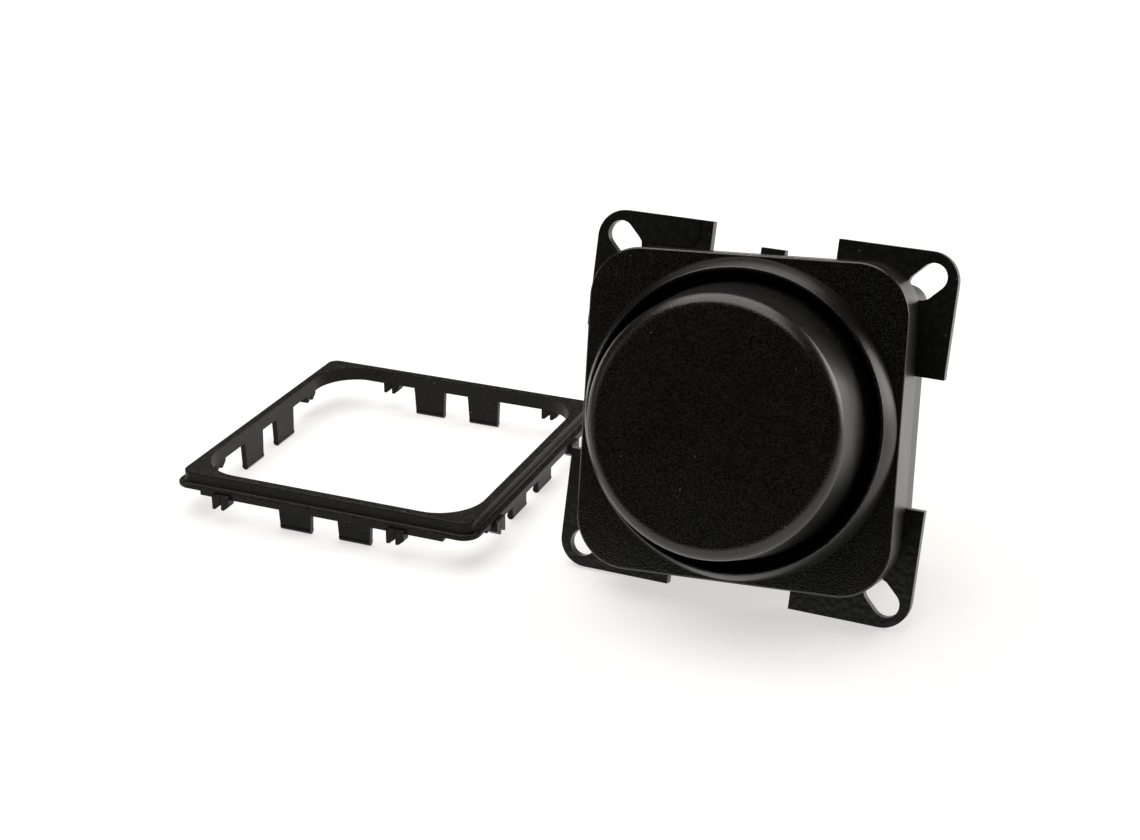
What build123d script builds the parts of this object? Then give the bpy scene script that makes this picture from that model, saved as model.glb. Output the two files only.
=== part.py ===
"""Rotary LED dimmer module and its clip-on frame, laid out on a table.

The module leans back on the lower edge of its mounting plate and on one rear corner of its
housing, and the frame that snaps round the cover lies flat beside it.
Module pieces are drawn along the knob axis: X to the right, Y up the plate, Z out of the wall,
with Z = 0 on the front of the mounting plate. They are then stood on the table.
"""
import math
import os

from build123d import *

# Cover with its raised collar, measured from the front of the mounting plate
cover_size = 45.0
cover_corner_radius = 7.3
cover_height = 7.3
cover_edge_radius = 0.3
cover_wall = 1.8
collar_margin = 0.36
collar_flank = 1.44
collar_crest_width = 0.6
collar_height = 2.9
collar_swell = 0.12
well_wall = 1.6
well_floor = 2.6
well_floor_thickness = 1.6

# Mounting plate with its four slotted ears
plate_rim = 0.86
plate_thickness = 1.5
plate_corner_radius = 4.0
plate_opening_corner_radius = 3.2
plate_opening_margin = 0.1
plate_offset = 0.2
notch_depth = 4.7
tab_width = 3.45
tab_reach = 2.1
slot_width = 3.8
slot_travel = 2.0
slot_inset = 3.4
gate_pad_width = 10.3
gate_pad_height = 4.2
gate_pad_inset = 1.7
gate_pad_corner_radius = 1.7
gate_line_width = 0.2
gate_line_depth = 0.15
rebate_width = 7.6
rebate_margin = 0.4
rebate_reach = 2.7
rebate_depth = 0.5

# Rear housing, which sits a little turned in the loose opening of the plate
housing_inset = 3.5
housing_corner_radius = 3.0
housing_depth = 19.8
housing_wall = 1.6
housing_edge_radius = 1.0
body_turn = 3.86
latch_width = 3.6
latch_inset = 5.8
latch_overlap = 1.0
latch_drop = 2.8
latch_slit_width = 0.8
latch_slit_length = 8.0
terminal_well_width = 30.0
terminal_well_height = 5.0
terminal_well_depth = 0.8
ledge_width = 5.0
ledge_thickness = 1.4

# Screws that draw the cover and the housing together
screw_inset = 2.6
screw_shank_radius = 1.0
screw_head_radius = 1.8
screw_head_height = 1.3
screw_bite = 4.0
screw_seat_depth = 8.0
screw_slot_width = 0.5
screw_slot_depth = 0.6
boss_wall = 0.95

# Knob
knob_reach = 19.3
knob_base = 4.6
knob_gap = 0.9
knob_draft = 1.75
knob_rim_rounding = 1.9
knob_wall = 1.7
knob_top = 1.9
hub_radius = 5.2
hub_gap = 1.6
rib_count = 6
rib_thickness = 1.0
rib_height = 5.0
grip_thickness = 0.35
grip_width = 3.4
grip_length = 5.0

# Potentiometer, shaft and push switch on the knob axis
shaft_radius = 3.0
shaft_end_gap = 0.3
shaft_grip_length = 8.0
shaft_flat = 1.5
drive_radius = 1.9
drive_flat = 1.2
bush_radius = 3.5
bush_reach = 5.2
bush_plate_radius = 8.3
bush_plate_thickness = 1.0
washer_radius = 4.9
washer_thickness = 0.5
washer_teeth = 10
washer_tooth_reach = 0.7
nut_across_flats = 10.0
nut_thickness = 2.0
clip_radius = 3.9
clip_thickness = 0.5
clip_opening = 2.4
clip_shoulder_radius = 2.6
clip_shoulder_length = 0.6
can_radius = 8.2
can_height = 6.5
can_wall = 0.5
track_outer_radius = 7.2
track_inner_radius = 3.3
track_thickness = 1.0
track_cut = 3.0
rotor_radius = 6.6
rotor_thickness = 1.2
rotor_hub_radius = 3.9
rotor_hub_length = 2.0
wiper_radius = 5.3
wiper_width = 1.6
wiper_thickness = 0.25
wiper_length = 4.0
press_travel = 1.2
switch_width = 15.0
switch_height = 7.9
switch_roof = 0.8
switch_floor = 1.0
plunger_radius = 3.2
plunger_length = 3.6
bridge_thickness = 0.2
bridge_inner_radius = 1.8
contact_radius = 0.4
contact_offset = 2.5
spring_radius = 1.25
spring_wire_radius = 0.16
spring_turns = 5.5
pin_width = 0.9
pin_thickness = 0.4
pin_pitch = 3.5
pin_row_offset = 9.2
pin_tail = 1.2

# Circuit board and what is soldered to it
board_thickness = 1.6
board_edge_gap = 0.3
component_gap = 0.65
capacitor_height = 9.0
capacitor_groove = 0.3
choke_height = 6.0
choke_winding = 1.1
choke_flange = 1.2
transistor_inset = 2.3
transistor_height = 2.3
transistor_lead_width = 0.8
transistor_lead_length = 2.2
transistor_lead_inset = 1.0
chip_width = 3.9
chip_length = 4.9
chip_height = 1.5
chip_lead_width = 0.4
chip_lead_reach = 1.0
chip_lead_pitch = 1.27
chip_lead_count = 4
resistor_width = 1.25
resistor_length = 2.0
resistor_height = 0.5
resistor_count = 4
resistor_row_inset = 4.8
resistor_end_inset = 1.7
blade_width = 6.3
blade_thickness = 0.8
blade_reach = 8.0
blade_proud = 0.4
blade_pitch = 10.0
blade_row_inset = 6.6
blade_hole_radius = 0.8
blade_point = 1.2

# Frame that clips round the cover, lying beside the module
frame_height = 7.05
frame_inner_corner_radius = 7.0
frame_band_width = 1.4
frame_lip_reach = 1.0
frame_body_height = 2.3
frame_inner_height = 2.2
frame_wall_drop = 1.4
frame_cove_radius = 0.55
frame_outer_corner_radius = 1.6
frame_lip_corner_radius = 2.6
frame_top_rounding = 0.2
frame_inner_step = 0.85
side_bar_inset = 2.2
side_bar_width = 0.9
side_bar_drop = 0.67
leg_start = 2.15
leg_width = 5.65
leg_taper = 0.3
leg_thickness = 0.9
leg_bead_radius = 0.55
tooth_width = 1.4
tooth_height = 0.8
tooth_reach = 2.35
tooth_inset = 1.45
tooth_gap = 0.1
tooth_thickness = 1.5
tooth_left_offset = 12.85
tooth_right_offset = 16.5
frame_gap = 10.65
frame_setback = 9.5
frame_turn = 1.3

# Clearances
cover_to_frame = 0.25
running_clearance = 0.05
hole_clearance = 0.1
seat_gap = 0.1
part_gap = 0.3

# Sizes that follow from the ones above
cover_half = cover_size / 2
collar_base_radius = cover_half - collar_margin
collar_crest_radius = collar_base_radius - collar_flank
housing_half = cover_half - housing_inset
housing_size = 2 * housing_half
turn = math.radians(body_turn)
housing_straight = housing_half - housing_corner_radius
housing_low = housing_straight * (math.cos(turn) + math.sin(turn)) + housing_corner_radius
opening_half = housing_low + plate_offset + plate_opening_margin
plate_half = opening_half + plate_rim + notch_depth
plate_size = 2 * plate_half
slot_centre_offset = plate_half - slot_inset
latch_offset = housing_half - latch_inset
notch_half = latch_offset - rebate_width / 2 - rebate_margin
latch_reach = opening_half + plate_offset + latch_overlap
collar_crest = cover_height + collar_height
well_radius = collar_crest_radius - collar_crest_width / 2
knob_base_radius = well_radius - knob_gap
knob_rim_radius = knob_base_radius - knob_draft
screw_offset = housing_half - screw_inset
blade_row_offset = housing_half - blade_row_inset
housing_front = well_floor - well_floor_thickness
housing_back = -plate_thickness - housing_depth
housing_inner_back = housing_back + housing_wall
housing_inner_half = housing_half - housing_wall
boss_radius = screw_head_radius + hole_clearance + boss_wall
screw_seat = -screw_seat_depth
pot_top = housing_front - bush_plate_thickness
can_back = pot_top - can_height
board_front = can_back - switch_height
board_back = board_front - board_thickness
bush_end = housing_front + bush_reach
hub_end = bush_end + hub_gap
clip_top = pot_top - seat_gap
drive_end = can_back - switch_roof - seat_gap
rotor_bottom = can_back + can_wall + track_thickness + part_gap
rotor_top = rotor_bottom + rotor_hub_length
plunger_top = drive_end - running_clearance
plunger_bottom = plunger_top - plunger_length
switch_inner_back = board_front + switch_floor
shaft_end = hub_end + shaft_grip_length
wiper_plate_top = rotor_top - rotor_thickness
track_top = can_back + can_wall + track_thickness
switch_half = switch_width / 2
side_room = housing_inner_half - can_radius
side_place = can_radius + side_room / 2
component_radius = side_room / 2 - component_gap
transistor_near = switch_half + part_gap
transistor_far = screw_offset - transistor_inset
resistor_pitch = (screw_offset - resistor_end_inset - switch_half) / (resistor_count - 1)


def rounded_block(size, corner_radius, bottom, top):
    """Square block with rounded upright corners between two heights."""
    outline = RectangleRounded(size, size, corner_radius)
    return extrude(Pos(0, 0, bottom) * outline, top - bottom)


def disc(radius, bottom, top):
    """Round block on the axis between two heights."""
    return extrude(Pos(0, 0, bottom) * Circle(radius), top - bottom)


def tube(outer_radius, inner_radius, bottom, top):
    """Ring on the axis between two heights."""
    return extrude(Pos(0, 0, bottom) * (Circle(outer_radius) - Circle(inner_radius)), top - bottom)


def flatted_rod(radius, flat, bottom, top):
    """Rod with one flat on its +X side, at the given distance from the axis."""
    beyond_flat = Pos(flat + radius, 0) * Rectangle(2 * radius, 2 * radius)
    return extrude(Pos(0, 0, bottom) * (Circle(radius) - beyond_flat), top - bottom)


def block(x_low, x_high, y_low, y_high, bottom, top):
    """Plain rectangular block between two corners."""
    centre = Pos((x_low + x_high) / 2, (y_low + y_high) / 2, (bottom + top) / 2)
    return centre * Box(x_high - x_low, y_high - y_low, top - bottom)


def corner_places(offset):
    """The four places at the given offset from both middle lines."""
    return GridLocations(2 * offset, 2 * offset, 2, 2)


def mounting_plate():
    """Thin moulded plate: four ears with slots at 45 degrees, a key tab at top and bottom."""
    outline = RectangleRounded(plate_size, plate_size, plate_corner_radius)
    outline -= RectangleRounded(2 * opening_half, 2 * opening_half, plate_opening_corner_radius)
    notch_floor = plate_half - notch_depth
    notch = Pos(0, notch_floor + notch_depth) * Rectangle(2 * notch_half, 2 * notch_depth)
    tab = Pos(0, notch_floor) * Rectangle(tab_width, 2 * tab_reach)
    slot_middle = slot_centre_offset - slot_travel / 2 * math.cos(math.pi / 4)
    slot = Pos(slot_middle, slot_middle) * Rot(Z=45) * SlotCenterToCenter(slot_travel, slot_width)
    for quarter in range(4):
        notch_here = notch - tab if quarter % 2 == 0 else notch
        outline -= Rot(Z=90 * quarter) * notch_here
        outline -= Rot(Z=90 * quarter) * slot
    plate = extrude(Pos(0, 0, -plate_thickness) * outline, plate_thickness)
    for place in GridLocations(2 * opening_half, 2 * latch_offset, 2, 2):
        plate -= Pos(0, 0, -plate_thickness) * place * Box(2 * rebate_reach, rebate_width, 2 * rebate_depth)
    pad_outline = RectangleRounded(gate_pad_width, 2 * gate_pad_height, gate_pad_corner_radius)
    pad_middle = -notch_half - gate_pad_inset - gate_pad_width / 2
    pad_line = pad_outline - Pos(-gate_line_width, gate_line_width) * pad_outline
    return plate - extrude(Pos(pad_middle, plate_half, -gate_line_depth) * pad_line, 2 * gate_line_depth)


def collar():
    """Raised ring round the knob: a swelling outer flank up to a rounded crest."""
    outer_top = collar_crest_radius + collar_crest_width / 2
    flank_start = (collar_base_radius, cover_height)
    flank_end = (outer_top, collar_crest - collar_crest_width / 2)
    swell_x = (flank_start[0] + flank_end[0]) / 2 + collar_swell
    swell_z = (flank_start[1] + flank_end[1]) / 2
    crest_start = (well_radius, flank_end[1])
    flank = ThreePointArc(flank_start, (swell_x, swell_z), flank_end)
    crest = ThreePointArc(flank_end, (collar_crest_radius, collar_crest), crest_start)
    inner = Polyline(
        crest_start,
        (well_radius, housing_front),
        (collar_base_radius, housing_front),
        flank_start,
    )
    section = make_face(Plane.XZ * (flank + crest + inner))
    return revolve(section, Axis.Z)


def cover_plate():
    """Square cover with soft edges, the collar, the knob's well and four screw bosses."""
    shell = rounded_block(cover_size, cover_corner_radius, 0, cover_height)
    shell = fillet(shell.faces().sort_by(Axis.Z)[-1].edges(), cover_edge_radius)
    inner_size = cover_size - 2 * cover_wall
    shell -= rounded_block(inner_size, cover_corner_radius - cover_wall, 0, cover_height - cover_wall)
    for place in corner_places(screw_offset):
        shell += place * disc(boss_radius, housing_front, cover_height - cover_wall)
    ring = collar() & rounded_block(cover_size, cover_corner_radius, 0, collar_crest)
    well = disc(well_radius + well_wall, housing_front, cover_height) & rounded_block(
        inner_size, cover_corner_radius - cover_wall, 0, collar_crest
    )
    body = shell + well + ring
    body -= disc(well_radius, well_floor, collar_crest)
    body -= disc(bush_radius + hole_clearance, 0, well_floor)
    for place in corner_places(screw_offset):
        pilot_end = housing_front + screw_bite + part_gap
        pilot = disc(screw_shank_radius + running_clearance, housing_front, pilot_end)
        body -= place * pilot
    return body


def latch():
    """Upper snap hook on the right side of the housing: a flat catch face and a lead-in ramp."""
    catch = -plate_thickness + rebate_depth - seat_gap
    root = housing_half - housing_wall / 2
    profile = Polyline(
        (root, catch),
        (latch_reach, catch),
        (latch_reach, catch - latch_overlap),
        (housing_half, catch - latch_drop),
        (root, catch - latch_drop),
        close=True,
    )
    return Pos(0, latch_offset) * extrude(make_face(Plane.XZ * profile), latch_width / 2, both=True)


def rear_housing():
    """Open box behind the plate with snap hooks, screw columns, board ledges and terminal slits."""
    box = rounded_block(housing_size, housing_corner_radius, housing_back, housing_front)
    box = fillet(box.faces().sort_by(Axis.Z)[0].edges(), housing_edge_radius)
    inner_radius = housing_corner_radius - housing_wall
    box -= rounded_block(2 * housing_inner_half, inner_radius, housing_inner_back, housing_front)
    outer = rounded_block(housing_size, housing_corner_radius, housing_inner_back, housing_front)
    for place in corner_places(screw_offset):
        box += (place * disc(boss_radius, housing_inner_back, housing_front)) & outer
    for quarter in range(4):
        ledge = block(
            housing_inner_half - ledge_thickness,
            housing_inner_half + housing_wall / 2,
            -ledge_width / 2,
            ledge_width / 2,
            housing_inner_back - housing_wall / 2,
            board_back,
        )
        box += Rot(Z=90 * quarter) * ledge
    slits = []
    for edge in (-1, 1):
        slit_middle = latch_offset + edge * (latch_width + latch_slit_width) / 2
        slits.append(
            block(
                housing_inner_half - housing_wall,
                housing_half + housing_wall,
                slit_middle - latch_slit_width / 2,
                slit_middle + latch_slit_width / 2,
                -plate_thickness - latch_slit_length,
                housing_front,
            )
        )
    for side in (0, 180):
        box += Rot(Z=side) * latch()
        box += Rot(Z=side) * mirror(latch(), Plane.XZ)
        for slit in slits:
            box -= Rot(Z=side) * slit
            box -= Rot(Z=side) * mirror(slit, Plane.XZ)
    for place in corner_places(screw_offset):
        box -= place * disc(screw_shank_radius + hole_clearance, screw_seat, housing_front)
        box -= place * disc(screw_head_radius + hole_clearance, housing_back, screw_seat)
    well_outline = RectangleRounded(terminal_well_width, terminal_well_height, terminal_well_height / 4)
    well_place = Pos(0, -blade_row_offset, housing_back)
    box -= well_place * extrude(well_outline, terminal_well_depth)
    slit_width = blade_width + 2 * hole_clearance
    slit_thickness = blade_thickness + 2 * hole_clearance
    for place in GridLocations(blade_pitch, 1, 3, 1):
        box -= well_place * place * Box(slit_width, slit_thickness, 4 * housing_wall)
    return box


def housing_screws():
    """Four slotted pan-head screws, up through the housing's columns into the cover."""
    head = disc(screw_head_radius, screw_seat - screw_head_height, screw_seat)
    head = fillet(head.faces().sort_by(Axis.Z)[0].edges(), screw_head_height / 2)
    shank = disc(screw_shank_radius, screw_seat, housing_front + screw_bite)
    slot = Box(2 * screw_head_radius, screw_slot_width, 2 * screw_slot_depth)
    screw = head + shank - Pos(0, 0, screw_seat - screw_head_height) * slot
    return [place * screw for place in corner_places(screw_offset)]


def knob():
    """Hollow moulded knob: drafted side, rounded rim, ribbed inside with a flatted hub."""
    rim = knob_reach - knob_rim_rounding
    face_radius = knob_rim_radius - knob_rim_rounding
    inner_top = knob_reach - knob_top
    slope = (knob_base_radius - knob_rim_radius) / (rim - knob_base)
    inner_top_radius = knob_rim_radius - knob_wall - slope * (inner_top - rim)
    rounding_middle = knob_rim_rounding * math.cos(math.pi / 4)
    outline = (
        Polyline((0, inner_top), (0, knob_reach), (face_radius, knob_reach))
        + ThreePointArc(
            (face_radius, knob_reach),
            (face_radius + rounding_middle, rim + rounding_middle),
            (knob_rim_radius, rim),
        )
        + Polyline(
            (knob_rim_radius, rim),
            (knob_base_radius, knob_base),
            (knob_base_radius - knob_wall, knob_base),
            (inner_top_radius, inner_top),
            (0, inner_top),
        )
    )
    cap = revolve(make_face(Plane.XZ * outline), Axis.Z)
    rib_reach = knob_rim_radius - knob_wall / 2
    rib_half = rib_thickness / 2
    rib = block(0, rib_reach, -rib_half, rib_half, inner_top - rib_height, inner_top)
    ribs = [Rot(Z=360 / rib_count * number) * rib for number in range(rib_count)]
    body = cap + disc(hub_radius, hub_end, inner_top + knob_top / 2) + ribs
    bore_end = shaft_end + shaft_end_gap
    bore_flat = shaft_flat + running_clearance
    body -= flatted_rod(shaft_radius + running_clearance, bore_flat, hub_end - hub_gap, bore_end)
    pocket_start = shaft_flat
    pocket_end = shaft_flat + 2 * running_clearance + grip_thickness
    pocket_half = grip_width / 2
    body -= block(pocket_start, pocket_end, -pocket_half, pocket_half, shaft_end - grip_length, bore_end)
    return body


def grip_spring():
    """Steel leaf in the hub that presses on the flat of the shaft."""
    start = shaft_flat + running_clearance
    half = grip_width / 2 - running_clearance
    bottom = shaft_end - grip_length + running_clearance
    return block(start, start + grip_thickness, -half, half, bottom, shaft_end)


def shaft():
    """Turned shaft: a flatted grip for the knob, a journal in the bush, a flatted drive end."""
    groove_bottom = clip_top - clip_thickness
    journal = disc(shaft_radius, clip_top, hub_end)
    shoulder = disc(clip_shoulder_radius, groove_bottom - clip_shoulder_length, groove_bottom)
    grip = flatted_rod(shaft_radius, shaft_flat, hub_end, shaft_end)
    drive = flatted_rod(drive_radius, drive_flat, drive_end, clip_top)
    return journal + grip + drive + shoulder


def shaft_clip():
    """Open retaining ring under the bush plate that keeps the shaft from pulling out."""
    bottom = clip_top - clip_thickness
    ring = tube(clip_radius, drive_radius + running_clearance, bottom, clip_top)
    return ring - block(0, clip_radius, -clip_opening / 2, clip_opening / 2, bottom, clip_top)


def pot_bush():
    """Cast front plate and threaded bush of the potentiometer."""
    plate = disc(bush_plate_radius, pot_top, housing_front)
    body = plate + disc(bush_radius, housing_front, bush_end)
    return body - disc(shaft_radius + running_clearance, pot_top, bush_end)


def lock_washer():
    """Toothed washer between the well floor and the nut."""
    top = well_floor + washer_thickness
    ring = tube(washer_radius, bush_radius + hole_clearance, well_floor, top)
    tooth_half = washer_tooth_reach / 2
    tooth = block(-washer_tooth_reach, washer_tooth_reach, -tooth_half, tooth_half, well_floor, top)
    for place in PolarLocations(washer_radius, washer_teeth):
        ring += place * tooth
    return ring


def pot_nut():
    """Thin hexagon nut that clamps the potentiometer to the well floor."""
    bottom = well_floor + washer_thickness
    hexagon = RegularPolygon(nut_across_flats / 2, 6, major_radius=False)
    outline = hexagon - Circle(bush_radius + running_clearance)
    return extrude(Pos(0, 0, bottom) * outline, nut_thickness)


def pot_can():
    """Pressed steel can behind the bush plate, slit for the three terminals."""
    can = disc(can_radius, can_back, pot_top) - disc(can_radius - can_wall, can_back + can_wall, pot_top)
    can -= disc(drive_radius + part_gap, can_back, can_back + can_wall)
    window = block(
        -pin_pitch - pin_width,
        pin_pitch + pin_width,
        -can_radius,
        -track_outer_radius / 2,
        can_back + can_wall,
        track_top + part_gap,
    )
    return can - window


def track_disc():
    """Horseshoe of resistive track on its insulating disc, on the floor of the can."""
    bottom = can_back + can_wall
    horseshoe = tube(track_outer_radius, track_inner_radius, bottom, track_top)
    return horseshoe - block(-track_cut / 2, track_cut / 2, 0, track_outer_radius, bottom, track_top)


def wiper_rotor():
    """Moulded rotor that the shaft turns and slides through."""
    hub = disc(rotor_hub_radius, rotor_bottom, rotor_top)
    flange = disc(rotor_radius, wiper_plate_top, rotor_top)
    hole_flat = drive_flat + running_clearance
    hole = flatted_rod(drive_radius + running_clearance, hole_flat, rotor_bottom, rotor_top)
    return hub + flange - hole


def wiper_contact():
    """Sprung metal finger under the rotor, its tip on the track."""
    half = wiper_width / 2
    leaf = block(
        -wiper_length / 2, wiper_length / 2, -wiper_radius - half, -wiper_radius + half,
        wiper_plate_top - wiper_thickness, wiper_plate_top,
    )
    tip = block(
        wiper_length / 2 - wiper_thickness, wiper_length / 2, -wiper_radius - half, -wiper_radius + half,
        track_top + running_clearance, wiper_plate_top,
    )
    return leaf + tip


def pot_pins():
    """Three terminals, out of the can beside the track and down through the board."""
    pins = []
    for number in (-1, 0, 1):
        middle = number * pin_pitch
        left = middle - pin_width / 2
        right = middle + pin_width / 2
        height = track_top + pin_thickness / 2
        tongue = block(left, right, -pin_row_offset, -track_outer_radius + part_gap, track_top, height)
        post_front = -pin_row_offset + pin_thickness
        post = block(left, right, -pin_row_offset, post_front, board_back - pin_tail, height)
        pins.append(tongue + post)
    return pins


def switch_body():
    """Push switch moulding behind the can, bored for the plunger."""
    body = block(-switch_half, switch_half, -switch_half, switch_half, board_front, can_back)
    body -= disc(drive_radius + part_gap, can_back - switch_roof, can_back)
    body -= disc(plunger_radius + running_clearance, switch_inner_back, can_back - switch_roof)
    for place in PolarLocations(contact_offset, 2):
        body -= place * disc(contact_radius + hole_clearance, board_front, switch_inner_back)
    return body


def push_plunger():
    """Plunger that the shaft's end presses; its skirt guides the return spring."""
    body = disc(plunger_radius, plunger_bottom, plunger_top)
    pocket_radius = spring_radius + spring_wire_radius + part_gap
    return body - disc(pocket_radius, plunger_bottom, plunger_bottom + plunger_length / 2)


def bridge_contact():
    """Metal ring under the plunger that joins the two fixed contacts when pressed."""
    return tube(plunger_radius, bridge_inner_radius, plunger_bottom - bridge_thickness, plunger_bottom)


def fixed_contacts():
    """Two contact posts through the switch floor, just out of the ring's reach."""
    top = plunger_bottom - bridge_thickness - press_travel - running_clearance
    post = disc(contact_radius, board_back - pin_tail, top)
    return [place * post for place in PolarLocations(contact_offset, 2)]


def return_spring():
    """Coil spring between the switch floor and the plunger's pocket."""
    bottom = switch_inner_back + spring_wire_radius
    top = plunger_bottom + plunger_length / 2 - spring_wire_radius
    path = Pos(0, 0, bottom) * Helix((top - bottom) / spring_turns, top - bottom, spring_radius)
    section = Plane(origin=path @ 0, z_dir=path % 0) * Circle(spring_wire_radius)
    return sweep(section, path=path)


def circuit_board():
    """Square board with cut corners, pierced for the terminals and posts."""
    size = 2 * (housing_inner_half - board_edge_gap)
    outline = Rectangle(size, size)
    for place in corner_places(screw_offset):
        outline -= place * Circle(boss_radius + board_edge_gap)
    board = extrude(Pos(0, 0, board_back) * outline, board_thickness)
    slit_width = blade_width + 2 * hole_clearance
    slit_thickness = blade_thickness + 2 * hole_clearance
    middle = (board_front + board_back) / 2
    slit = Box(slit_width, slit_thickness, 2 * board_thickness)
    for place in GridLocations(blade_pitch, 1, 3, 1):
        board -= Pos(0, -blade_row_offset, middle) * place * slit
    for place in GridLocations(pin_pitch, 1, 3, 1):
        hole = Cylinder(pin_width / 2 + hole_clearance, 2 * board_thickness)
        board -= Pos(0, -pin_row_offset + pin_thickness / 2, middle) * place * hole
    for place in PolarLocations(contact_offset, 2):
        board -= place * disc(contact_radius + hole_clearance, board_back, board_front)
    return board


def filter_capacitor():
    """Upright round capacitor with the usual crimp groove near its foot."""
    body = disc(component_radius, board_front, board_front + capacitor_height)
    body = fillet(body.faces().sort_by(Axis.Z)[-1].edges(), capacitor_groove)
    groove_height = board_front + capacitor_height / 6
    groove = Pos(0, 0, groove_height) * Torus(component_radius, capacitor_groove)
    return Pos(0, side_place) * (body - groove)


def choke_coil():
    """Drum-core choke: two flanges and a wound waist."""
    top = board_front + choke_height
    body = disc(component_radius, board_front, board_front + choke_flange)
    body += disc(component_radius - choke_winding, board_front, top)
    body += disc(component_radius, top - choke_flange, top)
    return Pos(side_place, 0) * body


def power_transistor():
    """Flat surface-mounted transistor with two leads, in the corner between switch and column."""
    body = block(
        transistor_near, transistor_far, transistor_near, transistor_far,
        board_front, board_front + transistor_height,
    )
    body = chamfer(body.faces().sort_by(Axis.Z)[-1].edges(), transistor_height / 6)
    for lead_middle in (transistor_near + transistor_lead_inset, transistor_far - transistor_lead_inset):
        body += block(
            lead_middle - transistor_lead_width / 2,
            lead_middle + transistor_lead_width / 2,
            transistor_near - transistor_lead_length,
            transistor_near + transistor_lead_length / 2,
            board_front,
            board_front + transistor_height / 4,
        )
    return body


def controller_chip():
    """Small outline chip with gull-wing leads on both sides."""
    half_width = chip_width / 2
    stand_off = chip_height / 8
    body = block(
        -half_width, half_width, -chip_length / 2, chip_length / 2,
        board_front + stand_off, board_front + chip_height,
    )
    for place in GridLocations(chip_width + chip_lead_reach, chip_lead_pitch, 2, chip_lead_count):
        lead = block(
            -chip_lead_reach / 2 - stand_off,
            chip_lead_reach / 2 + stand_off,
            -chip_lead_width / 2,
            chip_lead_width / 2,
            board_front,
            board_front + 2 * stand_off,
        )
        body += place * lead
    return Pos(-side_place, 0) * body


def chip_resistors():
    """Row of surface-mounted resistors beside the chip."""
    half_width = resistor_width / 2
    half_length = resistor_length / 2
    top = board_front + resistor_height
    piece = block(-half_length, half_length, -half_width, half_width, board_front, top)
    row = GridLocations(1, resistor_pitch, 1, resistor_count)
    row_middle = switch_half + resistor_pitch * (resistor_count - 1) / 2
    return [Pos(resistor_row_inset - screw_offset, row_middle) * place * piece for place in row]


def terminal_blades():
    """Three flat push-on blades, from the board out through the back of the housing."""
    top = board_front + blade_proud
    tip = housing_back - blade_reach
    half = blade_width / 2
    outline = make_face(
        Plane.XZ
        * Polyline(
            (-half, top),
            (half, top),
            (half, tip + blade_point),
            (half - blade_point, tip),
            (blade_point - half, tip),
            (-half, tip + blade_point),
            close=True,
        )
    )
    outline -= Plane.XZ * Pos(0, tip + blade_reach / 2) * Circle(blade_hole_radius)
    blade = extrude(outline, blade_thickness / 2, both=True)
    return [Pos(0, -blade_row_offset) * place * blade for place in GridLocations(blade_pitch, 1, 3, 1)]


def frame_leg():
    """Snap leg of the frame on its +Y side, with a rounded bead along the inner edge of its foot."""
    inner = cover_half + cover_to_frame
    outer = inner + leg_thickness
    root = frame_height - frame_inner_height
    slab = block(0, leg_width, inner, outer, leg_bead_radius, root + frame_inner_height / 2)
    bead = Plane.YZ * Pos(inner + leg_thickness / 2, leg_bead_radius) * Circle(leg_bead_radius)
    leg = slab + extrude(bead, leg_width, dir=(1, 0, 0))
    for edge, lean_in in ((0, leg_taper), (leg_width, -leg_taper)):
        taper = make_face(Plane.XZ * Polyline((edge, root), (edge, 0), (edge + lean_in, 0), close=True))
        leg -= extrude(taper, cover_size, dir=(0, 1, 0))
    return Pos(leg_start) * leg


def frame_teeth():
    """Pair of saw teeth that bite on the plate's ears, drawn on the frame's +Y side."""
    inner = cover_half + cover_to_frame + tooth_inset
    top = frame_height - frame_body_height
    bottom = top - tooth_reach
    teeth = []
    for start in (-tooth_width - tooth_gap, 0):
        profile = make_face(
            Plane.XZ
            * Polyline(
                (start, top),
                (start, bottom),
                (start + tooth_width / 3, bottom),
                (start + tooth_width, bottom + tooth_height),
                (start + tooth_width, top),
                close=True,
            )
        )
        teeth.append(Pos(0, inner) * extrude(profile, tooth_thickness, dir=(0, 1, 0)))
    return teeth


def clip_frame():
    """Square trim frame: narrow band, cove to a flared lip, snap legs and teeth on each side."""
    inner_size = cover_size + 2 * cover_to_frame
    band_size = inner_size + 2 * frame_band_width
    lip_size = band_size + 2 * frame_lip_reach
    lip_bottom = frame_height - frame_body_height
    cove_foot = frame_height - frame_wall_drop - frame_cove_radius
    upper = rounded_block(band_size, frame_outer_corner_radius, lip_bottom, frame_height)
    upper = fillet(upper.faces().sort_by(Axis.Z)[-1].edges(), frame_top_rounding)
    lip = rounded_block(lip_size, frame_lip_corner_radius, lip_bottom, cove_foot)
    body = upper + lip
    shelf = next(face for face in body.faces() if face.inner_wires())
    body = body.fillet(frame_cove_radius, shelf.inner_wires()[0].edges())
    bar_middle = lip_size / 2 - side_bar_width / 2
    side_bar_half = cover_half - side_bar_inset
    for quarter in range(4):
        bar = block(
            -side_bar_half,
            side_bar_half,
            bar_middle - side_bar_width / 2,
            bar_middle + side_bar_width / 2,
            lip_bottom - side_bar_drop,
            cove_foot,
        )
        body += Rot(Z=90 * quarter) * bar
    body -= rounded_block(inner_size, frame_inner_corner_radius, 0, frame_height)
    step_size = inner_size + 2 * frame_inner_step
    step_radius = frame_inner_corner_radius + frame_inner_step
    body -= rounded_block(step_size, step_radius, 0, frame_height - frame_inner_height)
    for quarter in range(4):
        facing = Rot(Z=90 * quarter)
        body += facing * frame_leg()
        body += facing * mirror(frame_leg(), Plane.YZ)
        for tooth in frame_teeth():
            hand = mirror(tooth, Plane.YZ) if quarter == 2 else tooth
            body += facing * (Pos(-tooth_left_offset) * hand)
            body += facing * (Pos(tooth_right_offset) * hand)
    return body


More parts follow.
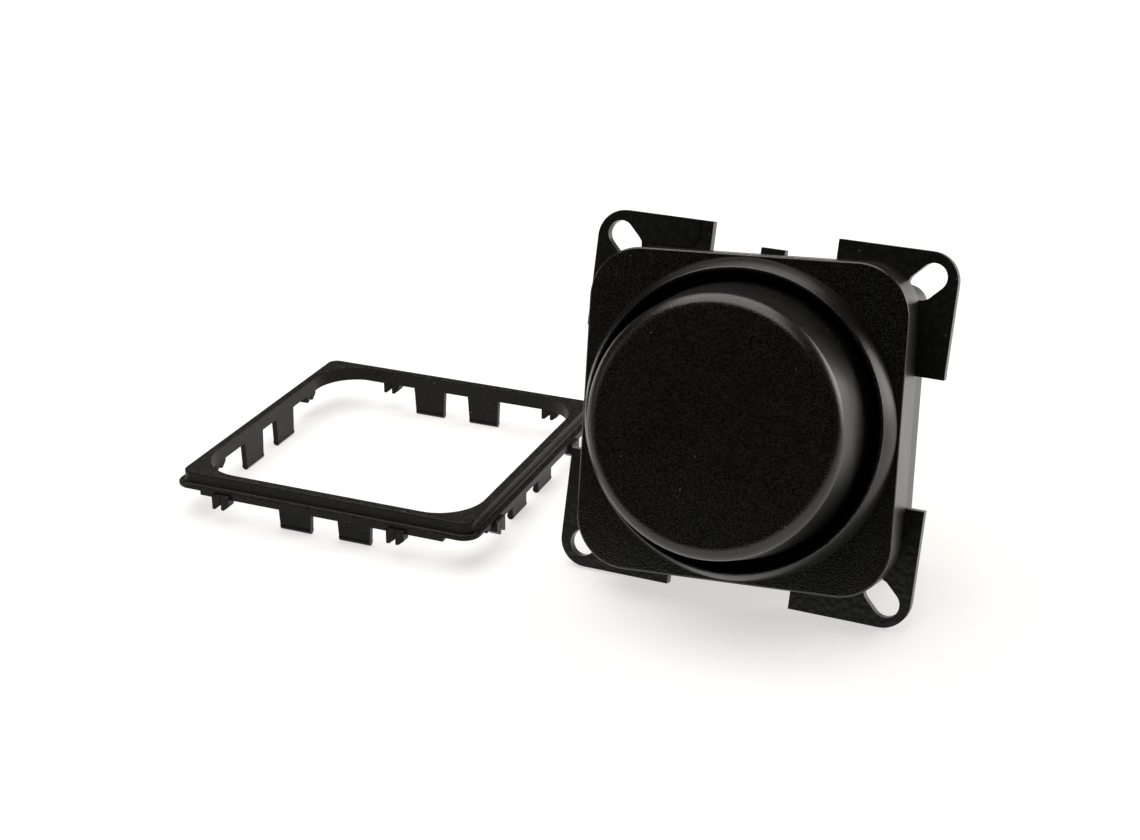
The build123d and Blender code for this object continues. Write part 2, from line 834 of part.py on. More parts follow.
# Lean of the module: the angle at which plate edge and housing corner both touch the table
lean_rise = plate_half - housing_low + housing_edge_radius
lean_run = housing_depth - housing_edge_radius
lean = math.acos(housing_edge_radius / math.hypot(lean_rise, lean_run)) - math.atan2(lean_run, lean_rise)
stand_height = plate_half * math.cos(lean) + plate_thickness * math.sin(lean)
module_pose = Pos(0, 0, stand_height) * Rot(X=90 - math.degrees(lean))
body_pose = module_pose * Rot(Z=body_turn)
frame_half = cover_half + cover_to_frame + frame_band_width + frame_lip_reach
frame_pose = Pos(-plate_half - plate_offset - frame_gap - frame_half, frame_setback, 0) * Rot(Z=frame_turn)

turned_pieces = [
    cover_plate,
    rear_housing,
    housing_screws,
    knob,
    grip_spring,
    shaft,
    shaft_clip,
    pot_bush,
    lock_washer,
    pot_nut,
    pot_can,
    track_disc,
    wiper_rotor,
    wiper_contact,
    pot_pins,
    switch_body,
    push_plunger,
    bridge_contact,
    fixed_contacts,
    return_spring,
    circuit_board,
    filter_capacitor,
    choke_coil,
    power_transistor,
    controller_chip,
    chip_resistors,
    terminal_blades,
]


def standing(piece, pose):
    """The piece, or each solid of a group, moved to its place on the table."""
    solids = piece if isinstance(piece, list) else [piece]
    return [pose * solid for solid in solids]


placed = {make.__name__: standing(make(), body_pose) for make in turned_pieces}
placed["mounting_plate"] = standing(mounting_plate(), module_pose * Pos(-plate_offset))
placed["clip_frame"] = standing(clip_frame(), frame_pose)

# The origin is on the table, under the middle of everything
everything = Compound([solid for solids in placed.values() for solid in solids])
footprint = everything.bounding_box()
to_origin = Pos(-footprint.center().X, -footprint.center().Y, 0)

os.makedirs("parts", exist_ok=True)
for name, solids in placed.items():
    export_step(Compound([to_origin * solid for solid in solids]), f"parts/{name}.step")
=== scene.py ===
import math

import bpy
from mathutils import Matrix, Vector


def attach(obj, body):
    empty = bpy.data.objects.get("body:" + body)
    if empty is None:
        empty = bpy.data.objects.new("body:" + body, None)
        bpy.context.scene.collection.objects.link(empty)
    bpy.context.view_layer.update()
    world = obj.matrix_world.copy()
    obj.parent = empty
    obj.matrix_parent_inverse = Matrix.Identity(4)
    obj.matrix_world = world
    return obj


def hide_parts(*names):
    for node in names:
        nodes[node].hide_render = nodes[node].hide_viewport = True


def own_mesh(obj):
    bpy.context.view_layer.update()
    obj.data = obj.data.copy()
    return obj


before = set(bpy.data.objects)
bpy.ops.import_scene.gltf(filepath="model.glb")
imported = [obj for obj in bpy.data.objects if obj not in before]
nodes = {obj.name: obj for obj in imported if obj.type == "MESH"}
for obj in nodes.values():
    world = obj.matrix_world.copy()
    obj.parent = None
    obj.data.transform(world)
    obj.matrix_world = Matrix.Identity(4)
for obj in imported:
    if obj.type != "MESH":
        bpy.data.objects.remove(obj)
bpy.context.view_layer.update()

# Mounting plate
# A thin plate moulded in black glass-filled nylon, with a slotted ear at each corner.
# Screws through the slots hold it to the panel, and the housing snaps into its square opening.


def grain_group():
    """Fine spark-eroded mould grain: a height for bump and a mask of its shiny crests."""
    crest_start, crest_full = 0.85, 1.15
    tree = bpy.data.node_groups.new("moulded_grain", "ShaderNodeTree")
    tree.interface.new_socket("Cell size", in_out="INPUT", socket_type="NodeSocketFloat")
    tree.interface.new_socket("Height", in_out="OUTPUT", socket_type="NodeSocketFloat")
    tree.interface.new_socket("Crests", in_out="OUTPUT", socket_type="NodeSocketFloat")
    inside = tree.nodes.new("NodeGroupInput")
    outside = tree.nodes.new("NodeGroupOutput")
    place = tree.nodes.new("ShaderNodeTexCoord")
    pitch = tree.nodes.new("ShaderNodeMath")
    pitch.operation = "DIVIDE"
    pitch.inputs[0].default_value = 1.0
    tree.links.new(inside.outputs["Cell size"], pitch.inputs[1])
    soft = tree.nodes.new("ShaderNodeTexNoise")
    soft.inputs["Detail"].default_value = 3.0
    soft.inputs["Roughness"].default_value = 0.55
    cells = tree.nodes.new("ShaderNodeTexVoronoi")
    cells.feature = "SMOOTH_F1"
    cells.inputs["Smoothness"].default_value = 0.6
    for texture in (soft, cells):
        tree.links.new(place.outputs["Object"], texture.inputs["Vector"])
        tree.links.new(pitch.outputs[0], texture.inputs["Scale"])
    both = tree.nodes.new("ShaderNodeMath")
    both.operation = "ADD"
    tree.links.new(soft.outputs["Fac"], both.inputs[0])
    tree.links.new(cells.outputs["Distance"], both.inputs[1])
    crests = tree.nodes.new("ShaderNodeMapRange")
    crests.inputs["From Min"].default_value = crest_start
    crests.inputs["From Max"].default_value = crest_full
    tree.links.new(both.outputs[0], crests.inputs["Value"])
    tree.links.new(both.outputs[0], outside.inputs["Height"])
    tree.links.new(crests.outputs["Result"], outside.inputs["Crests"])
    return tree


def dust_group():
    """Sparse specks of dust, and a slow smear of handling marks."""
    cells_per_metre = 600.0
    speck_rim, speck_core = 0.08, 0.04
    share_left_clean = 0.68
    smears_per_metre = 120.0
    tree = bpy.data.node_groups.new("dust_and_handling", "ShaderNodeTree")
    tree.interface.new_socket("Specks", in_out="OUTPUT", socket_type="NodeSocketFloat")
    tree.interface.new_socket("Smear", in_out="OUTPUT", socket_type="NodeSocketFloat")
    outside = tree.nodes.new("NodeGroupOutput")
    place = tree.nodes.new("ShaderNodeTexCoord")
    scatter = tree.nodes.new("ShaderNodeTexVoronoi")
    scatter.inputs["Scale"].default_value = cells_per_metre
    tree.links.new(place.outputs["Object"], scatter.inputs["Vector"])
    near = tree.nodes.new("ShaderNodeMapRange")
    near.inputs["From Min"].default_value = speck_rim
    near.inputs["From Max"].default_value = speck_core
    tree.links.new(scatter.outputs["Distance"], near.inputs["Value"])
    pick = tree.nodes.new("ShaderNodeSeparateColor")
    tree.links.new(scatter.outputs["Color"], pick.inputs["Color"])
    few = tree.nodes.new("ShaderNodeMath")
    few.operation = "GREATER_THAN"
    few.inputs[1].default_value = share_left_clean
    tree.links.new(pick.outputs["Red"], few.inputs[0])
    specks = tree.nodes.new("ShaderNodeMath")
    specks.operation = "MULTIPLY"
    tree.links.new(near.outputs["Result"], specks.inputs[0])
    tree.links.new(few.outputs[0], specks.inputs[1])
    smear = tree.nodes.new("ShaderNodeTexNoise")
    smear.inputs["Scale"].default_value = smears_per_metre
    smear.inputs["Detail"].default_value = 4.0
    smear.inputs["Distortion"].default_value = 0.6
    tree.links.new(place.outputs["Object"], smear.inputs["Vector"])
    tree.links.new(specks.outputs[0], outside.inputs["Specks"])
    tree.links.new(smear.outputs["Fac"], outside.inputs["Smear"])
    return tree


def facing_group():
    """Mask of the surfaces that face along a given direction, such as a moulding's flat front."""
    turned_away, head_on = 0.55, 1.0
    tree = bpy.data.node_groups.new("flat_front", "ShaderNodeTree")
    tree.interface.new_socket("Direction", in_out="INPUT", socket_type="NodeSocketVector")
    tree.interface.new_socket("Front", in_out="OUTPUT", socket_type="NodeSocketFloat")
    inside = tree.nodes.new("NodeGroupInput")
    outside = tree.nodes.new("NodeGroupOutput")
    place = tree.nodes.new("ShaderNodeTexCoord")
    along = tree.nodes.new("ShaderNodeVectorMath")
    along.operation = "DOT_PRODUCT"
    tree.links.new(place.outputs["Normal"], along.inputs[0])
    tree.links.new(inside.outputs["Direction"], along.inputs[1])
    fade = tree.nodes.new("ShaderNodeMapRange")
    fade.interpolation_type = "SMOOTHSTEP"
    fade.inputs["From Min"].default_value = turned_away
    fade.inputs["From Max"].default_value = head_on
    tree.links.new(along.outputs["Value"], fade.inputs["Value"])
    tree.links.new(fade.outputs["Result"], outside.inputs["Front"])
    return tree


moulded_grain = grain_group()
dust_and_handling = dust_group()
flat_front = facing_group()


def black_plastic(
    name, colour, painted_glint_colour, side_roughness, face_roughness,
    cell_size, grain_depth, side_grain_and_glints, front, specular=0.5
):
    """Black plastic: grain with paler crests as painted glints, strong on the front face and less
    on the sides, dust.
    """
    dust_colour = (0.17, 0.165, 0.15)
    smear_low, smear_high = 0.3, 0.7
    handling_wander = 0.015
    material = bpy.data.materials.new(name)
    material.use_nodes = True
    tree = material.node_tree
    surface = tree.nodes["Principled BSDF"]
    surface.inputs["Specular IOR Level"].default_value = specular
    grain = tree.nodes.new("ShaderNodeGroup")
    grain.node_tree = moulded_grain
    grain.inputs["Cell size"].default_value = cell_size
    dust = tree.nodes.new("ShaderNodeGroup")
    dust.node_tree = dust_and_handling
    facing = tree.nodes.new("ShaderNodeGroup")
    facing.node_tree = flat_front
    facing.inputs["Direction"].default_value = front

    # Colour: paler crests in the grain as painted glints, then specks of dust over it
    share = tree.nodes.new("ShaderNodeMapRange")
    share.inputs["To Min"].default_value = side_grain_and_glints
    share.inputs["To Max"].default_value = 1.0
    tree.links.new(facing.outputs["Front"], share.inputs["Value"])
    painted_glints = tree.nodes.new("ShaderNodeMath")
    painted_glints.operation = "MULTIPLY"
    tree.links.new(grain.outputs["Crests"], painted_glints.inputs[0])
    tree.links.new(share.outputs["Result"], painted_glints.inputs[1])
    painted_glint_tint = tree.nodes.new("ShaderNodeMix")
    painted_glint_tint.data_type = "RGBA"
    painted_glint_tint.inputs["A"].default_value = (*colour, 1.0)
    painted_glint_tint.inputs["B"].default_value = (*painted_glint_colour, 1.0)
    tree.links.new(painted_glints.outputs[0], painted_glint_tint.inputs["Factor"])
    dusty_tint = tree.nodes.new("ShaderNodeMix")
    dusty_tint.data_type = "RGBA"
    dusty_tint.inputs["B"].default_value = (*dust_colour, 1.0)
    tree.links.new(painted_glint_tint.outputs["Result"], dusty_tint.inputs["A"])
    tree.links.new(dust.outputs["Specks"], dusty_tint.inputs["Factor"])
    tree.links.new(dusty_tint.outputs["Result"], surface.inputs["Base Color"])

    # Gloss: one level on the front face and one on the sides, wandering with handling
    finish = tree.nodes.new("ShaderNodeMapRange")
    finish.inputs["To Min"].default_value = side_roughness
    finish.inputs["To Max"].default_value = face_roughness
    tree.links.new(facing.outputs["Front"], finish.inputs["Value"])
    wander = tree.nodes.new("ShaderNodeMapRange")
    wander.inputs["From Min"].default_value = smear_low
    wander.inputs["From Max"].default_value = smear_high
    wander.inputs["To Min"].default_value = -handling_wander
    wander.inputs["To Max"].default_value = handling_wander
    tree.links.new(dust.outputs["Smear"], wander.inputs["Value"])
    gloss = tree.nodes.new("ShaderNodeMath")
    gloss.operation = "ADD"
    tree.links.new(finish.outputs["Result"], gloss.inputs[0])
    tree.links.new(wander.outputs["Result"], gloss.inputs[1])
    tree.links.new(gloss.outputs[0], surface.inputs["Roughness"])

    # Relief of the grain
    height = tree.nodes.new("ShaderNodeMath")
    height.operation = "MULTIPLY"
    tree.links.new(grain.outputs["Height"], height.inputs[0])
    tree.links.new(share.outputs["Result"], height.inputs[1])
    relief = tree.nodes.new("ShaderNodeBump")
    relief.inputs["Distance"].default_value = grain_depth
    relief.inputs["Strength"].default_value = 1.0
    tree.links.new(height.outputs[0], relief.inputs["Height"])
    tree.links.new(relief.outputs["Normal"], surface.inputs["Normal"])
    return material


def dress(names, material):
    """Puts a material on CAD nodes in place of the plain one they came with."""
    for name in names:
        piece = nodes[name]
        piece.data.materials.clear()
        piece.data.materials.append(material)


lean = math.radians(17.1825)
out_of_wall = (0.0, -math.cos(lean), math.sin(lean))
# Its crest colour is painted glints on the grain.
plate_nylon = black_plastic(
    "plate_nylon",
    colour=(0.002, 0.002, 0.002), painted_glint_colour=(0.006, 0.006, 0.006),
    side_roughness=0.36, face_roughness=0.32,
    cell_size=0.0008, grain_depth=0.00003, side_grain_and_glints=0.5, front=out_of_wall
)
dress(["mounting_plate"], plate_nylon)

# Rear housing
# A deep box moulded in the same black nylon, with snap hooks at its sides.
# Four screws in deep columns draw it to the cover, and three brass blades take the wires.

# Its crest colour is painted glints on the grain.
housing_nylon = black_plastic(
    "housing_nylon",
    colour=(0.005, 0.005, 0.005), painted_glint_colour=(0.011, 0.011, 0.011),
    side_roughness=0.42, face_roughness=0.44,
    cell_size=0.0008, grain_depth=0.00003, side_grain_and_glints=0.8, front=out_of_wall
)
dress(["rear_housing"], housing_nylon)


def worn_metal_group():
    """Tone of a metal that wanders with handling, and a height of fine tool marks."""
    blotches_per_metre = 600.0
    along_marks = (0.12, 1.0, 1.0)
    tree = bpy.data.node_groups.new("worn_metal", "ShaderNodeTree")
    tree.interface.new_socket("Mark size", in_out="INPUT", socket_type="NodeSocketFloat")
    tree.interface.new_socket("Tone", in_out="OUTPUT", socket_type="NodeSocketFloat")
    tree.interface.new_socket("Marks", in_out="OUTPUT", socket_type="NodeSocketFloat")
    inside = tree.nodes.new("NodeGroupInput")
    outside = tree.nodes.new("NodeGroupOutput")
    place = tree.nodes.new("ShaderNodeTexCoord")
    blotch = tree.nodes.new("ShaderNodeTexNoise")
    blotch.inputs["Scale"].default_value = blotches_per_metre
    blotch.inputs["Detail"].default_value = 4.0
    tree.links.new(place.outputs["Object"], blotch.inputs["Vector"])
    pitch = tree.nodes.new("ShaderNodeMath")
    pitch.operation = "DIVIDE"
    pitch.inputs[0].default_value = 1.0
    tree.links.new(inside.outputs["Mark size"], pitch.inputs[1])
    stretch = tree.nodes.new("ShaderNodeMapping")
    stretch.inputs["Scale"].default_value = along_marks
    tree.links.new(place.outputs["Object"], stretch.inputs["Vector"])
    marks = tree.nodes.new("ShaderNodeTexNoise")
    marks.inputs["Detail"].default_value = 2.0
    tree.links.new(stretch.outputs["Vector"], marks.inputs["Vector"])
    tree.links.new(pitch.outputs[0], marks.inputs["Scale"])
    tree.links.new(blotch.outputs["Fac"], outside.inputs["Tone"])
    tree.links.new(marks.outputs["Fac"], outside.inputs["Marks"])
    return tree


worn_metal = worn_metal_group()


def plain_metal(name, bright, dull, smooth, rough, mark_size, mark_depth):
    """Stamped, drawn or turned metal: two tones, a gloss that wanders, fine tool marks."""
    mark_low, mark_high = 0.3, 0.7
    material = bpy.data.materials.new(name)
    material.use_nodes = True
    tree = material.node_tree
    surface = tree.nodes["Principled BSDF"]
    surface.inputs["Metallic"].default_value = 1.0
    wear = tree.nodes.new("ShaderNodeGroup")
    wear.node_tree = worn_metal
    wear.inputs["Mark size"].default_value = mark_size
    tint = tree.nodes.new("ShaderNodeMix")
    tint.data_type = "RGBA"
    tint.inputs["A"].default_value = (*bright, 1.0)
    tint.inputs["B"].default_value = (*dull, 1.0)
    tree.links.new(wear.outputs["Tone"], tint.inputs["Factor"])
    tree.links.new(tint.outputs["Result"], surface.inputs["Base Color"])
    gloss = tree.nodes.new("ShaderNodeMapRange")
    gloss.inputs["From Min"].default_value = mark_low
    gloss.inputs["From Max"].default_value = mark_high
    gloss.inputs["To Min"].default_value = smooth
    gloss.inputs["To Max"].default_value = rough
    tree.links.new(wear.outputs["Marks"], gloss.inputs["Value"])
    tree.links.new(gloss.outputs["Result"], surface.inputs["Roughness"])
    relief = tree.nodes.new("ShaderNodeBump")
    relief.inputs["Distance"].default_value = mark_depth
    relief.inputs["Strength"].default_value = 1.0
    tree.links.new(wear.outputs["Marks"], relief.inputs["Height"])
    tree.links.new(relief.outputs["Normal"], surface.inputs["Normal"])
    return material


screw_zinc = plain_metal(
    "screw_zinc", bright=(0.66, 0.67, 0.66), dull=(0.50, 0.50, 0.47),
    smooth=0.25, rough=0.42, mark_size=0.0002, mark_depth=0.000006
)
blade_brass = plain_metal(
    "blade_brass", bright=(0.80, 0.62, 0.30), dull=(0.62, 0.46, 0.22),
    smooth=0.22, rough=0.38, mark_size=0.0003, mark_depth=0.000006
)
dress(["housing_screws"], screw_zinc)
dress(["terminal_blades"], blade_brass)

# Cover
# A square cover with a raised round collar, injection moulded in black plastic.
# Its face keeps a fine mould grain, and the collar, edges and sides are left satin.

# Its crest colour is painted glints on the grain.
cover_plastic = black_plastic(
    "cover_plastic",
    colour=(0.0003, 0.0003, 0.0003), painted_glint_colour=(0.014, 0.014, 0.0132),
    side_roughness=0.34, face_roughness=0.22,
    cell_size=0.00022, grain_depth=0.000018, side_grain_and_glints=0.3, front=out_of_wall
)
dress(["cover_plate"], cover_plastic)

# Knob
# A hollow push-and-turn knob moulded in black plastic, grained on its face, satin at rim and side.
# A steel leaf inside its hub grips the flat of the shaft.

# Its crest colour is painted glints on the grain.
knob_plastic = black_plastic(
    "knob_plastic",
    colour=(0.0003, 0.0003, 0.0003), painted_glint_colour=(0.014, 0.014, 0.0132),
    side_roughness=0.33, face_roughness=0.23,
    cell_size=0.00022, grain_depth=0.000018, side_grain_and_glints=0.5, front=out_of_wall
)
dress(["knob"], knob_plastic)
spring_steel = plain_metal(
    "spring_steel", bright=(0.58, 0.58, 0.57), dull=(0.42, 0.42, 0.42),
    smooth=0.24, rough=0.36, mark_size=0.0002, mark_depth=0.000004
)
dress(["grip_spring"], spring_steel)

# Shaft and bush
# A turned aluminium shaft runs in the threaded bush of the potentiometer.
# A toothed washer and a thin nut clamp the bush to the floor of the cover's well.

turned_aluminium = plain_metal(
    "turned_aluminium", bright=(0.76, 0.76, 0.75), dull=(0.62, 0.62, 0.61),
    smooth=0.22, rough=0.36, mark_size=0.00015, mark_depth=0.000008
)
dress(["shaft", "pot_bush", "pot_nut"], turned_aluminium)
dress(["shaft_clip", "lock_washer"], spring_steel)

# Potentiometer
# A pressed tinned can holds the horseshoe of resistive track and the moulded rotor with its wiper.
# Three brass pins bring the track's ends and the wiper out to the board.


def mottled_plastic(name, light, dark, smooth, rough, fleck_size):
    """Plain moulded or pressed material of two near tones, with a slight orange peel."""
    peel_depth = fleck_size / 40
    material = bpy.data.materials.new(name)
    material.use_nodes = True
    tree = material.node_tree
    surface = tree.nodes["Principled BSDF"]
    grain = tree.nodes.new("ShaderNodeGroup")
    grain.node_tree = moulded_grain
    grain.inputs["Cell size"].default_value = fleck_size
    tint = tree.nodes.new("ShaderNodeMix")
    tint.data_type = "RGBA"
    tint.inputs["A"].default_value = (*light, 1.0)
    tint.inputs["B"].default_value = (*dark, 1.0)
    tree.links.new(grain.outputs["Crests"], tint.inputs["Factor"])
    tree.links.new(tint.outputs["Result"], surface.inputs["Base Color"])
    gloss = tree.nodes.new("ShaderNodeMapRange")
    gloss.inputs["To Min"].default_value = smooth
    gloss.inputs["To Max"].default_value = rough
    tree.links.new(grain.outputs["Crests"], gloss.inputs["Value"])
    tree.links.new(gloss.outputs["Result"], surface.inputs["Roughness"])
    relief = tree.nodes.new("ShaderNodeBump")
    relief.inputs["Distance"].default_value = peel_depth
    relief.inputs["Strength"].default_value = 1.0
    tree.links.new(grain.outputs["Height"], relief.inputs["Height"])
    tree.links.new(relief.outputs["Normal"], surface.inputs["Normal"])
    return material


tinned_can = plain_metal(
    "tinned_can", bright=(0.64, 0.64, 0.62), dull=(0.48, 0.48, 0.46),
    smooth=0.26, rough=0.44, mark_size=0.0003, mark_depth=0.000005
)
track_laminate = mottled_plastic(
    "track_laminate", light=(0.16, 0.09, 0.05), dark=(0.12, 0.065, 0.035),
    smooth=0.40, rough=0.55, fleck_size=0.0004
)
rotor_acetal = mottled_plastic(
    "rotor_acetal", light=(0.76, 0.75, 0.71), dark=(0.70, 0.69, 0.65),
    smooth=0.34, rough=0.44, fleck_size=0.0006
)
contact_brass = plain_metal(
    "contact_brass", bright=(0.82, 0.66, 0.36), dull=(0.66, 0.50, 0.26),
    smooth=0.20, rough=0.36, mark_size=0.0002, mark_depth=0.000004
)
dress(["pot_can"], tinned_can)
dress(["track_disc"], track_laminate)
dress(["wiper_rotor"], rotor_acetal)
dress(["wiper_contact", "pot_pins"], contact_brass)

# Push switch
# A moulded block behind the can: pressing the knob drives the shaft's end onto a plunger,
# which carries a contact ring to two posts and is sent back by a coil spring.

switch_nylon = mottled_plastic(
    "switch_nylon", light=(0.020, 0.020, 0.021), dark=(0.014, 0.014, 0.015),
    smooth=0.40, rough=0.52, fleck_size=0.0006
)
dress(["switch_body"], switch_nylon)
dress(["push_plunger"], rotor_acetal)
dress(["bridge_contact", "fixed_contacts"], contact_brass)

# The coil is copied from the return spring into a mesh of its own,
# hung on the dimmer's body.
coil = bpy.data.objects.new("return_coil", nodes["return_spring"].data.copy())
bpy.context.scene.collection.objects.link(coil)
coil.data.materials.clear()
coil.data.materials.append(spring_steel)
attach(coil, "dimmer")
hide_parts("return_spring")
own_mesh(coil)

# Circuit board
# A glass-epoxy board under green solder resist on four ledges of the housing.
# It carries a power transistor, a capacitor in its sleeve, a drum choke, a chip and resistors.


def resist_over_copper(name, resist, over_copper, track_pitch):
    """Green solder resist, paler and slightly raised where it lies over copper tracks."""
    copper_rim, laminate_rim = 0.30, 0.34
    copper_roughness, laminate_roughness = 0.28, 0.38
    copper_thickness = 0.00003
    material = bpy.data.materials.new(name)
    material.use_nodes = True
    tree = material.node_tree
    surface = tree.nodes["Principled BSDF"]
    place = tree.nodes.new("ShaderNodeTexCoord")
    tracks = tree.nodes.new("ShaderNodeTexVoronoi")
    tracks.distance = "MANHATTAN"
    tracks.inputs["Scale"].default_value = 1.0 / track_pitch
    tree.links.new(place.outputs["Object"], tracks.inputs["Vector"])
    edge = tree.nodes.new("ShaderNodeMapRange")
    edge.inputs["From Min"].default_value = copper_rim
    edge.inputs["From Max"].default_value = laminate_rim
    tree.links.new(tracks.outputs["Distance"], edge.inputs["Value"])
    tint = tree.nodes.new("ShaderNodeMix")
    tint.data_type = "RGBA"
    tint.inputs["A"].default_value = (*over_copper, 1.0)
    tint.inputs["B"].default_value = (*resist, 1.0)
    tree.links.new(edge.outputs["Result"], tint.inputs["Factor"])
    tree.links.new(tint.outputs["Result"], surface.inputs["Base Color"])
    gloss = tree.nodes.new("ShaderNodeMapRange")
    gloss.inputs["To Min"].default_value = copper_roughness
    gloss.inputs["To Max"].default_value = laminate_roughness
    tree.links.new(edge.outputs["Result"], gloss.inputs["Value"])
    tree.links.new(gloss.outputs["Result"], surface.inputs["Roughness"])
    relief = tree.nodes.new("ShaderNodeBump")
    relief.invert = True
    relief.inputs["Distance"].default_value = copper_thickness
    relief.inputs["Strength"].default_value = 1.0
    tree.links.new(edge.outputs["Result"], relief.inputs["Height"])
    tree.links.new(relief.outputs["Normal"], surface.inputs["Normal"])
    return material


board_resist = resist_over_copper(
    "board_resist", resist=(0.020, 0.130, 0.055), over_copper=(0.050, 0.190, 0.080),
    track_pitch=0.0028
)
capacitor_sleeve = mottled_plastic(
    "capacitor_sleeve", light=(0.040, 0.050, 0.130), dark=(0.034, 0.042, 0.110),
    smooth=0.24, rough=0.32, fleck_size=0.0009
)
choke_ferrite = mottled_plastic(
    "choke_ferrite", light=(0.105, 0.100, 0.098), dark=(0.075, 0.072, 0.070),
    smooth=0.50, rough=0.64, fleck_size=0.0003
)
chip_epoxy = mottled_plastic(
    "chip_epoxy", light=(0.032, 0.032, 0.033), dark=(0.022, 0.022, 0.023),
    smooth=0.44, rough=0.56, fleck_size=0.0003
)
dress(["circuit_board"], board_resist)
dress(["filter_capacitor"], capacitor_sleeve)
dress(["choke_coil"], choke_ferrite)
dress(["power_transistor", "controller_chip", "chip_resistors"], chip_epoxy)

# Clip frame
# A square trim frame of black plastic that snaps round the cover, shown taken off and laid flat.
# Its band and cove are grained, and the legs and teeth below them are satin.

upwards = (0.0, 0.0, 1.0)
# Its crest colour is painted glints on the grain.
frame_plastic = black_plastic(
    "frame_plastic",
    colour=(0.002, 0.002, 0.0019), painted_glint_colour=(0.026, 0.026, 0.0245),
    side_roughness=0.36, face_roughness=0.30,
    cell_size=0.00026, grain_depth=0.00004, side_grain_and_glints=0.35, front=upwards, specular=0.14
)
dress(["clip_frame"], frame_plastic)

# Table
# A plain sheet of matt paper under both pieces, white to the camera and a little greyer mirrored.
# Far in front it is painted dark to all but the camera: a painted shade standing in for the dim
# room there.

sheet_reach = 3.0
sheet_grey = (0.40, 0.40, 0.40)
painted_shade_grey = (0.05, 0.05, 0.05)
white_ends, painted_shade_begins = -0.10, -0.16
reflected_strength = 0.75
seen_strength = 0.62
floor_mesh = bpy.data.meshes.new("table_top")
floor_mesh.from_pydata(
    [
        (-sheet_reach, -sheet_reach, 0), (sheet_reach, -sheet_reach, 0),
        (sheet_reach, sheet_reach, 0), (-sheet_reach, sheet_reach, 0),
    ],
    [],
    [(0, 1, 2, 3)],
)
table = bpy.data.objects.new("table_top", floor_mesh)
bpy.context.scene.collection.objects.link(table)
paper = bpy.data.materials.new("white_paper_with_painted_shade")
paper.use_nodes = True
tree = paper.node_tree
surface = tree.nodes["Principled BSDF"]
surface.inputs["Roughness"].default_value = 0.9
surface.inputs["Specular IOR Level"].default_value = 0.1
surface.inputs["Emission Color"].default_value = (1.0, 0.99, 0.97, 1.0)
rays = tree.nodes.new("ShaderNodeLightPath")
spot = tree.nodes.new("ShaderNodeTexCoord")
split = tree.nodes.new("ShaderNodeSeparateXYZ")
tree.links.new(spot.outputs["Object"], split.inputs["Vector"])
in_front = tree.nodes.new("ShaderNodeMapRange")
in_front.interpolation_type = "SMOOTHSTEP"
in_front.inputs["From Min"].default_value = white_ends
in_front.inputs["From Max"].default_value = painted_shade_begins
tree.links.new(split.outputs["Y"], in_front.inputs["Value"])
unseen = tree.nodes.new("ShaderNodeMath")
unseen.operation = "SUBTRACT"
unseen.inputs[0].default_value = 1.0
tree.links.new(rays.outputs["Is Camera Ray"], unseen.inputs[1])
shaded = tree.nodes.new("ShaderNodeMath")
shaded.operation = "MULTIPLY"
tree.links.new(in_front.outputs["Result"], shaded.inputs[0])
tree.links.new(unseen.outputs[0], shaded.inputs[1])
# Painted shade: far in front the sheet is dark to every ray but the camera's.
sheet_tint = tree.nodes.new("ShaderNodeMix")
sheet_tint.data_type = "RGBA"
sheet_tint.inputs["A"].default_value = (*sheet_grey, 1.0)
sheet_tint.inputs["B"].default_value = (*painted_shade_grey, 1.0)
tree.links.new(shaded.outputs[0], sheet_tint.inputs["Factor"])
tree.links.new(sheet_tint.outputs["Result"], surface.inputs["Base Color"])
# Reflected rays don't see the sheet's glow in that painted shade in front.
mirrored = tree.nodes.new("ShaderNodeMath")
mirrored.operation = "SUBTRACT"
mirrored.use_clamp = True
tree.links.new(rays.outputs["Is Glossy Ray"], mirrored.inputs[0])
tree.links.new(in_front.outputs["Result"], mirrored.inputs[1])
lit = tree.nodes.new("ShaderNodeMath")
lit.operation = "MULTIPLY"
lit.inputs[1].default_value = reflected_strength
tree.links.new(mirrored.outputs[0], lit.inputs[0])
seen = tree.nodes.new("ShaderNodeMath")
seen.operation = "MULTIPLY"
seen.inputs[1].default_value = seen_strength
tree.links.new(rays.outputs["Is Camera Ray"], seen.inputs[0])
glow = tree.nodes.new("ShaderNodeMath")
glow.operation = "MAXIMUM"
tree.links.new(seen.outputs[0], glow.inputs[0])
tree.links.new(lit.outputs[0], glow.inputs[1])
tree.links.new(glow.outputs[0], surface.inputs["Emission Strength"])
floor_mesh.materials.append(paper)

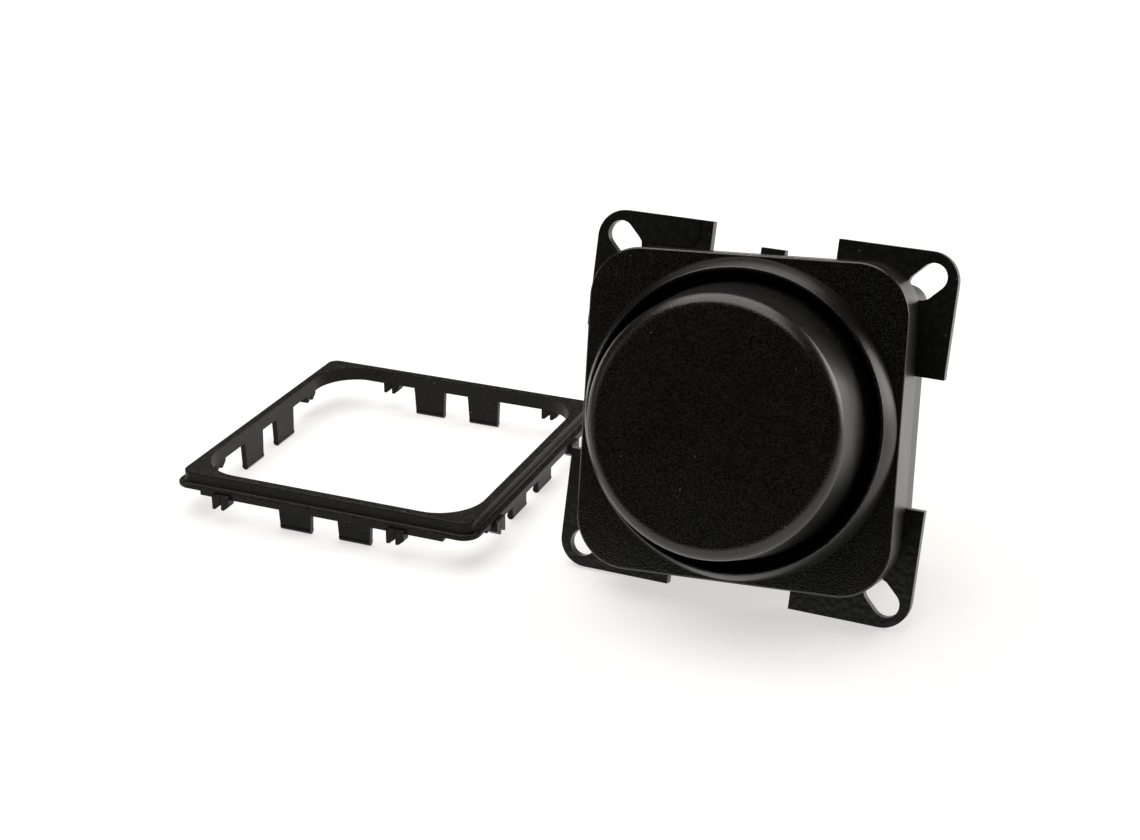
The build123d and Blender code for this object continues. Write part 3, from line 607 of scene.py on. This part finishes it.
# Light
# One large softbox straight overhead, and one low behind at the right for the knob's streak.
# A weak fill stands at the front left, and the room around them is dim.


def softbox(name, place, aim, width, height, power):
    """Rectangular lamp of warm white at a place, turned to face a point."""
    warm_white = (1.0, 0.96, 0.90)
    lamp = bpy.data.lights.new(name, "AREA")
    lamp.shape = "RECTANGLE"
    lamp.size = width
    lamp.size_y = height
    lamp.energy = power
    lamp.color = warm_white
    holder = bpy.data.objects.new(name, lamp)
    bpy.context.scene.collection.objects.link(holder)
    holder.location = place
    holder.rotation_euler = (Vector(aim) - Vector(place)).to_track_quat("-Z", "Y").to_euler()


middle = (0.0, 0.0, 0.02)
softbox(
    "overhead_softbox", place=(-0.20, 0.02, 0.62), aim=(-0.20, 0.02, 0.0),
    width=0.75, height=1.0, power=8.0
)
softbox(
    "back_right_softbox", place=(0.58, 0.43, 0.23), aim=middle,
    width=0.62, height=0.42, power=4.5
)
softbox(
    "left_fill", place=(-0.57, -0.48, 0.17), aim=middle,
    width=0.4, height=0.3, power=0.25
)

world = bpy.data.worlds.new("dim_room")
bpy.context.scene.world = world
world.use_nodes = True
room = world.node_tree.nodes["Background"]
room.inputs["Color"].default_value = (1.0, 0.98, 0.95, 1.0)
room.inputs["Strength"].default_value = 0.015

# Camera
# A short telephoto a quarter of a metre in front, above and to the right of the dimmer.
# Its place and turn come from a fit of the plate, cover, knob and frame to the picture.

plate_front = Vector((0.0311497, -0.0061969, 0.0251879))
from_plate = Vector((0.07624, -0.24123, 0.11140))
right = Vector((0.91801, 0.39656, 0.00275))
up = Vector((-0.16368, 0.37258, 0.91345))
turn = Matrix((right, up, right.cross(up))).transposed()
lens_data = bpy.data.cameras.new("camera")
lens_data.sensor_fit = "HORIZONTAL"
lens_data.sensor_width = 36.0
lens_data.lens = 62.46
camera = bpy.data.objects.new("camera", lens_data)
bpy.context.scene.collection.objects.link(camera)
camera.matrix_world = Matrix.Translation(plate_front + from_plate) @ turn.to_4x4()
bpy.context.scene.camera = camera
bpy.context.scene.view_settings.view_transform = "Standard"
